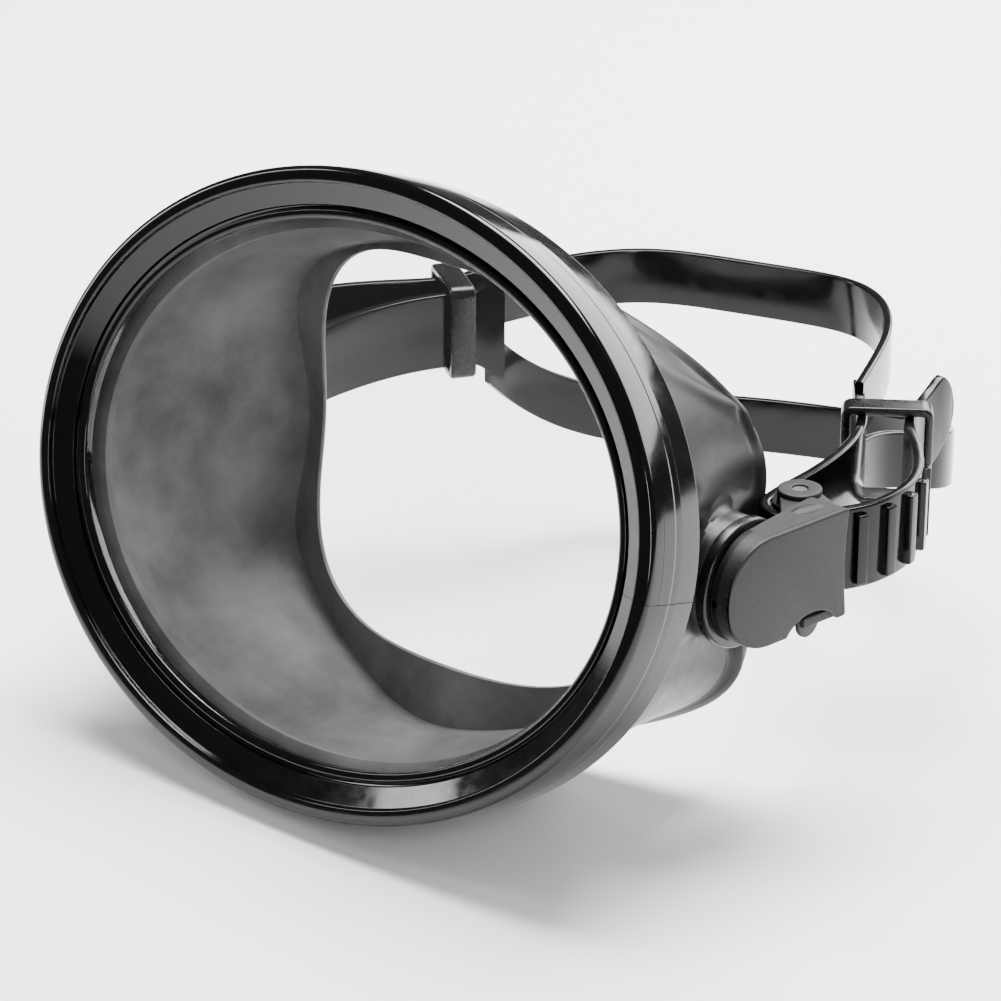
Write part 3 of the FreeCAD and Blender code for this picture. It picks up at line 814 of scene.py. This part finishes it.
def rib_nodes(bar, mat):
    """Curve in, ribs out: named inputs for the pitch, the start and the number of ribs."""
    tree = bpy.data.node_groups.new("rib_row", "GeometryNodeTree")
    tree.interface.new_socket("Geometry", in_out="INPUT", socket_type="NodeSocketGeometry")
    for name, kind in (
        ("Pitch", "NodeSocketFloat"), ("Start", "NodeSocketFloat"), ("Count", "NodeSocketInt"),
    ):
        tree.interface.new_socket(name, in_out="INPUT", socket_type=kind)
    tree.interface.new_socket("Geometry", in_out="OUTPUT", socket_type="NodeSocketGeometry")

    enter = add(tree, "NodeGroupInput").outputs
    row = add(tree, "GeometryNodeMeshLine", None, Count=enter["Count"]).outputs["Mesh"]
    index = add(tree, "GeometryNodeInputIndex").outputs[0]
    way = add(
        tree, "Math", {"operation": "MULTIPLY_ADD"}, _0=index, _1=enter["Pitch"], _2=enter["Start"],
    )
    sample = add(
        tree, "GeometryNodeSampleCurve", {"mode": "LENGTH"},
        Curves=enter["Geometry"], Length=way.outputs[0], Curve_Index=0,
    ).outputs
    spots = add(tree, "GeometryNodeSetPosition", None, Geometry=row, Position=sample["Position"])
    upright = {"axis": "Y", "pivot_axis": "Z"}
    turn = add(tree, "FunctionNodeAlignRotationToVector", upright, Vector=sample["Tangent"])
    source = add(tree, "GeometryNodeObjectInfo", None, Object=bar)
    copies = add(
        tree, "GeometryNodeInstanceOnPoints", None, Points=spots.outputs["Geometry"],
        Instance=source.outputs["Geometry"], Rotation=turn.outputs[0],
    )
    real = add(tree, "GeometryNodeRealizeInstances", None, Geometry=copies.outputs["Instances"])
    paint = add(tree, "GeometryNodeSetMaterial", None, Geometry=real.outputs["Geometry"], Material=mat)
    add(tree, "NodeGroupOutput", None, Geometry=paint.outputs["Geometry"])
    return tree


def rib_row(mat):
    bar = piece("rib_bar", *rib_bar())
    curve = bpy.data.curves.new("outer_strand", "CURVE")
    curve.dimensions = "3D"
    line = curve.splines.new("POLY")
    line.points.add(len(outer_path) - 1)
    for point, place in zip(line.points, level(outer_path)):
        point.co = (*place, 1.0)
    guide = bpy.data.objects.new("outer_strand", curve)
    bpy.context.scene.collection.objects.link(guide)
    tree = rib_nodes(bar, mat)
    modifier = guide.modifiers.new("ribs", "NODES")
    modifier.node_group = tree
    values = {"Pitch": rib_pitch * MM, "Start": rib_start * MM, "Count": rib_count}
    for item in tree.interface.items_tree:
        if item.in_out == "INPUT" and item.name in values:
            modifier[item.identifier] = values[item.name]
    graph = bpy.context.evaluated_depsgraph_get()
    mesh = bpy.data.meshes.new_from_object(guide.evaluated_get(graph))
    points = [tuple(v.co) for v in mesh.vertices]
    faces = [tuple(p.vertices) for p in mesh.polygons]
    bpy.data.objects.remove(guide)
    bpy.data.objects.remove(bar)
    return points, faces


rib_points, rib_faces = rib_row(STRAP)
print("ribs", len(rib_points), "points")
all_points, all_faces = joined(
    [(level(strap_points), strap_faces), (rib_points, rib_faces), (flipped(rib_points), rib_faces)]
)
strap = piece("moulded_strap", all_points, all_faces, 40.0)
finish_piece(strap, STRAP, "strap_and_buckles", "strap", "strap")

# %% [markdown]
# ## The keepers
# Each keeper is a small moulded loop that holds both strands together. It is a rounded rectangle
# with a hole, thick in the beam and thinner in the legs.

# %% Keepers
def loop_wall(outline, section, place):
    """A closed wall: section of (inset, level) carried round an outline. place maps to 3-D."""
    before, after = np.roll(outline, 1, axis=0), np.roll(outline, -1, axis=0)
    along = after - before
    along /= np.maximum(np.linalg.norm(along, axis=1, keepdims=True), 1e-9)
    normal = np.stack([-along[:, 1], along[:, 0]], 1)
    points = [place(o + n * inset, at) for o, n in zip(outline, normal) for inset, at in section]
    return np.array(points), grid(len(outline), len(section), True, True)


def keeper_shell():
    low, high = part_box("keeper_right")
    middle = (np.array(low) + np.array(high)) / 2 / MM
    along = np.array(joint["keeper_slide_right"]["axis"])
    side = np.array([along[1], -along[0], 0.0])
    half_long, half_tall = 16.0 / 2 + 1.8, strap_tall / 2 + 0.5 + 1.8
    signs = ((-1, -1), (1, -1), (1, 1), (-1, 1))
    corners = [(u * half_long, v * half_tall, 2.6) for u, v in signs]
    section = rounded(
        [
            (0.0, -2.6, 0.5), (0.5, -3.0, 0.3), (1.8, -3.0, 0.4), (1.8, 3.0, 0.4), (0.5, 3.0, 0.3),
            (0.0, 2.6, 0.5),
        ],
        3,
    )

    def place(o, at):
        return middle + side * o[0] + along * at + np.array([0, 0, o[1]])

    return loop_wall(rounded(corners, 6), section, place)


shell_points, shell_faces = keeper_shell()
for sign, word in ((1, "right"), (-1, "left")):
    points = shell_points if sign > 0 else flipped(shell_points)
    keeper = piece("keeper_loop_" + word, points * MM, shell_faces, 40.0)
    finish_piece(keeper, SATIN, "keeper_body_" + word, "keeper", "keeper_" + word)
print("keeper faces", len(keeper.data.polygons))

# %% [markdown]
# ## The buckles
# A buckle is a glass-filled nylon moulding: a cover with a round nose and a square tail, a wall
# round the nose, a back plate, and ears that carry the roller's pin. Its outlines are drawn flat
# as reach behind the swivel and height above it, and then given thickness and soft edges.

# %% Buckle outlines
cover_half, cover_reach, flange = 11.9, 21.5, 2.2
plate_in, plate_out, lever_face = 77.1, 78.7, 82.8


def cover_x(reach):
    """The cover's outer face slopes outwards towards the strap."""
    return lever_face + 0.45 + 1.8 + (reach - 12.2) * 0.155


def arc(cx, cy, radius, start, end, count):
    return [
        (cx + radius * math.cos(a), cy + radius * math.sin(a), 0.0)
        for a in np.radians(np.linspace(start, end, count))
    ]


def cover_outline():
    """Counter-clockwise from the top of the tail, round the nose and along the arch to the tail."""
    arch = arc(12.0, -cover_half - 5.4, 9.0, 143.2, 36.8, 15)
    tail = [
        (cover_reach, -cover_half, 0.9), (cover_reach - 0.55, -6.0, 0.0), (cover_reach - 0.8, 0.0, 0.0),
        (cover_reach - 0.55, 6.0, 0.0), (cover_reach, cover_half, 0.9),
    ]
    return rounded(tail + arc(0, 0, cover_half, 90, 270, 40) + arch, 6)


def cover_place(outline, at, rise):
    """Level 0 is the inner face of the cover and level 1 its outer face."""
    return [(cover_x(u) - 1.8 * (1 - at) + rise, u, v) for u, v in outline]


def nose_wall(low, high_gap, bottom_end):
    """Wall round the nose between the back plate and the cover; bottom_end is where it stops."""
    inner = cover_half - flange
    top_end = cover_reach - 0.6
    outline = arc(0, 0, cover_half, 90, 270, 30) + [(bottom_end, -cover_half, 0), (bottom_end, -inner, 0)]
    outline += arc(0, 0, inner, 270, 90, 30) + [(top_end, inner, 0), (top_end, cover_half, 0)]
    outline = rounded(outline)
    bottom = [(low, u, v) for u, v in outline]
    top = [(high_gap(u), u, v) for u, v in outline]
    return tube_with_ends([np.array(bottom), np.array(top)])


def web(low, high):
    """Flange with an ear that carries the roller's pin, drawn as (x, reach)."""
    ear = 4.6
    front = math.sqrt((cover_half + 1.6 + 1.0) ** 2 - (cover_half - flange) ** 2)
    outline = [
        (plate_in, front, 0.6), (cover_x(front) - 1.2, front, 0.2),
        (cover_x(cover_reach) - 1.2, cover_reach - 0.6, 0.3),
    ]
    outline.append((roller_x + ear * 0.9, roller_reach + ear * 0.5, 1.0))
    outline += arc(roller_x, roller_reach, ear, 40, 190, 14)
    return plate(rounded(outline), low, high, 0.3, lying)


def ear_rim(low, high):
    """Raised rim round the end of the roller's pin."""
    section = rounded([(0.0, low, 0.1), (3.0, low, 0.1), (3.0, high, 0.35), (0.0, high, 0.5)], 4)
    circle = np.array(
        [
            (roller_x + 4.6 * math.cos(a), roller_reach + 4.6 * math.sin(a))
            for a in np.linspace(0, 2 * math.pi, 41)[:-1]
        ]
    )
    return loop_wall(circle, section, lambda o, at: (o[0], o[1], at))


def leaf_boss(top):
    """Low almond boss on the top flange, which the mould's ejector leaves."""
    centre, heading = np.array([80.2, 15.4]), np.array([0.35, 0.94])
    side = np.array([heading[1], -heading[0]])
    half_long, half_wide, sunk, tall = 5.0, 2.5, 0.4, 1.7
    around = np.linspace(0, 2 * math.pi, 29)[:-1]
    length = half_long * np.cos(around)
    width = half_wide * np.sin(around) * np.abs(np.sin(around)) ** 0.3
    almond = length[:, None] * heading + width[:, None] * side
    rings = []
    for a in np.linspace(0, math.pi / 2, 9):
        flat = centre + almond * math.cos(a)
        rings.append(np.column_stack([flat, np.full(len(flat), top - sunk + tall * math.sin(a))]))
    return tube_with_ends(rings)


print("cover outline", len(cover_outline()), "points")

# %% [markdown]
# Closed shells that overlap a little stand for one moulding: cover, nose wall, back plate, two
# flanges with ears, and the rims round the pin. A real one is a single shot of nylon. Keeping the
# shells apart in the mesh leaves each one's edges round without a fragile boolean.

# %% Buckle bodies
def buckle_shells():
    shells = [plate(cover_outline(), 0.0, 1.0, 0.55, cover_place, 5)]
    shells.append(nose_wall(plate_in, lambda u: 81.3, 14.6))
    shells.append(nose_wall(81.3, lambda u: cover_x(u) - 1.2, 4.4))
    tail = [(13.6, -cover_half + 2.4, 1.0), (13.6, cover_half - 2.4, 1.0)]
    back = rounded(arc(0, 0, cover_half, 90, 270, 30) + tail)
    shells.append(plate(back, plate_in, plate_out, 0.2, facing))
    shells += [web(cover_half - flange, cover_half - 0.7), web(-cover_half, -cover_half + flange)]
    shells += [
        ear_rim(cover_half - flange, cover_half + 0.35),
        ear_rim(-cover_half - 0.35, -cover_half + flange),
    ]
    shells.append(leaf_boss(cover_half - 0.7))
    return joined(shells)


buckle_points, buckle_faces = buckle_shells()
for sign, word in ((1, "right"), (-1, "left")):
    points = buckle_points if sign > 0 else flipped(buckle_points)
    body = piece("buckle_shell_" + word, level(points), buckle_faces, 38.0)
    finish_piece(body, NYLON, "strap_and_buckles", "buckle", "buckle_body_" + word)
print("buckle faces", len(body.data.polygons))

# %% [markdown]
# The base is a disc that sits on the skirt's moulded pad, with a hub that the buckle turns round.
# The release lever is a sprung plate under the cover. Its barrel turns on a pin, a tooth at its
# end holds a rib, and a rounded tab shows below the arch for the thumb.

# %% Bases and levers
def lever_shells():
    half, reach = 9.4, (lever_at.y - pivot.y) / MM
    barrel = np.array(
        [
            (lever_at.x / MM + 1.55 * math.cos(a), reach + 1.55 * math.sin(a))
            for a in np.linspace(0, 2 * math.pi, 25)[:-1]
        ]
    )
    start, end, tab = reach + 2.8, reach + 10.8, reach + 4.4
    outline = [(start, half, 0.3), (start, -half, 0.3), (tab - 3.75, -half, 0.2)]
    outline += arc(tab, -half - 1.85, 3.75, 180, 360, 24)
    outline += [(tab + 3.75, -half, 0.4), (end, -half, 0.6), (end, half, 0.6)]
    joint_plate = np.array(
        [
            (80.7, reach - 1.1), (82.75, start - 0.4), (82.75, start + 0.6), (81.5, start + 0.6),
            (80.7, reach + 1.4),
        ]
    )
    return joined(
        [
            plate(barrel, -half, half, 0.2, lying), plate(rounded(outline), 81.82, 82.78, 0.25, facing),
            plate(joint_plate, -half, half, 0.05, lying),
        ]
    )


def base_shells():
    disc = np.array(
        [(13.5 * math.cos(a), 13.5 * math.sin(a)) for a in np.linspace(0, 2 * math.pi, 81)[:-1]]
    )
    return joined(
        [plate(disc, 74.2, 76.8, 0.55, facing), plate(disc * 5.0 / 13.5, 76.5, 78.8, 0.1, facing)]
    )


base_points, base_faces = base_shells()
for sign, word in ((1, "right"), (-1, "left")):
    points = base_points if sign > 0 else flipped(base_points)
    base = piece("swivel_base_" + word, level(points), base_faces, 38.0)
    finish_piece(base, SATIN, "mask", "buckle", "buckle_base_" + word)

lever_points, lever_faces = lever_shells()
for sign, word in ((1, "right"), (-1, "left")):
    points = lever_points if sign > 0 else flipped(lever_points)
    lever = piece("release_plate_" + word, level(points), lever_faces, 38.0)
    finish_piece(lever, NYLON, "lever_body_" + word, "buckle", "release_lever_" + word)

print("lever faces", len(lever.data.polygons), "base faces", len(base.data.polygons))

# %% [markdown]
# The lens is a plain ground plate, and pins, springs and rollers are turned, drawn or moulded to
# exact sizes. Their CAD shapes are already what the real ones look like, so they only need a
# material.

# %% Lens and small hard parts keep their CAD shapes
hard_parts = {"lens": GLASS, "roller_right": SATIN, "roller_left": SATIN}
hard_parts.update({name: STEEL for name in nodes if "pin" in name or "spring" in name})
for name, mat in hard_parts.items():
    nodes[name].data.materials.clear()
    nodes[name].data.materials.append(mat)
print("keep their shapes", sorted(hard_parts))

# %% [markdown]
# ## Studio
# The mask sits on a pale floor in soft light. A large lamp overhead, strip lamps at the sides and
# a bright surround give the long soft highlights that show the shape of black plastic.

# %% Floor, lamps and camera
def floor():
    mesh = bpy.data.meshes.new("floor")
    mesh.from_pydata([(-3, -3, 0), (3, -3, 0), (3, 3, 0), (-3, 3, 0)], [], [(0, 1, 2, 3)])
    obj = bpy.data.objects.new("floor", mesh)
    bpy.context.scene.collection.objects.link(obj)
    mat, tree, coords = empty_material("pale_matt_floor")
    shader = add(tree, "BsdfPrincipled", None, Base_Color=linear("#ffffff"), Roughness=0.9)
    add(tree, "OutputMaterial", None, Surface=shader.outputs["BSDF"])
    obj.data.materials.append(mat)


def lamp(name, place, target, size, power, colour="#ffffff"):
    light = bpy.data.lights.new(name, "AREA")
    light.shape = "RECTANGLE"
    light.size, light.size_y = size
    light.energy = power
    light.color = linear(colour)[:3]
    obj = bpy.data.objects.new(name, light)
    obj.location = place
    obj.rotation_euler = (Vector(target) - Vector(place)).to_track_quat("-Z", "Y").to_euler()
    bpy.context.scene.collection.objects.link(obj)


def surround(strength):
    world = bpy.data.worlds.new("surround")
    world.use_nodes = True
    world.node_tree.nodes.clear()
    light = add(world.node_tree, "Background", None, Color=linear("#ffffff"), Strength=strength)
    add(world.node_tree, "OutputWorld", None, Surface=light.outputs["Background"])
    bpy.context.scene.world = world


def camera():
    az, el, distance = math.radians(40), math.radians(24), 0.8
    aside, below = 35.45 * MM, 1.31 * MM
    back = Vector((math.sin(az) * math.cos(el), -math.cos(az) * math.cos(el), math.sin(el)))
    side = Vector((math.cos(az), math.sin(az), 0))
    up = back.cross(side)
    data = bpy.data.cameras.new("camera")
    data.lens, data.sensor_width = 142.4, 36.0
    obj = bpy.data.objects.new("camera", data)
    where = mask_centre + back * distance + side * aside - up * below
    obj.matrix_world = Matrix.Translation(where) @ Matrix((side, up, back)).transposed().to_4x4()
    bpy.context.scene.collection.objects.link(obj)
    bpy.context.scene.camera = obj


floor()
surround(0.16)
lamp("overhead", (-0.15, 0.35, 1.2), (0, 0.05, 0.0), (0.9, 0.7), 66.0)
lamp("back_panel", (0.2, 1.2, 0.6), (0, 0.1, 0.0), (1.8, 0.5), 30.0)
lamp("left_strip", (-0.9, -0.5, 0.35), (0, 0, 0.06), (0.12, 0.9), 6.0)
lamp("right_strip", (0.75, -0.6, 0.45), (0, 0, 0.06), (0.05, 0.5), 4.0)
camera()
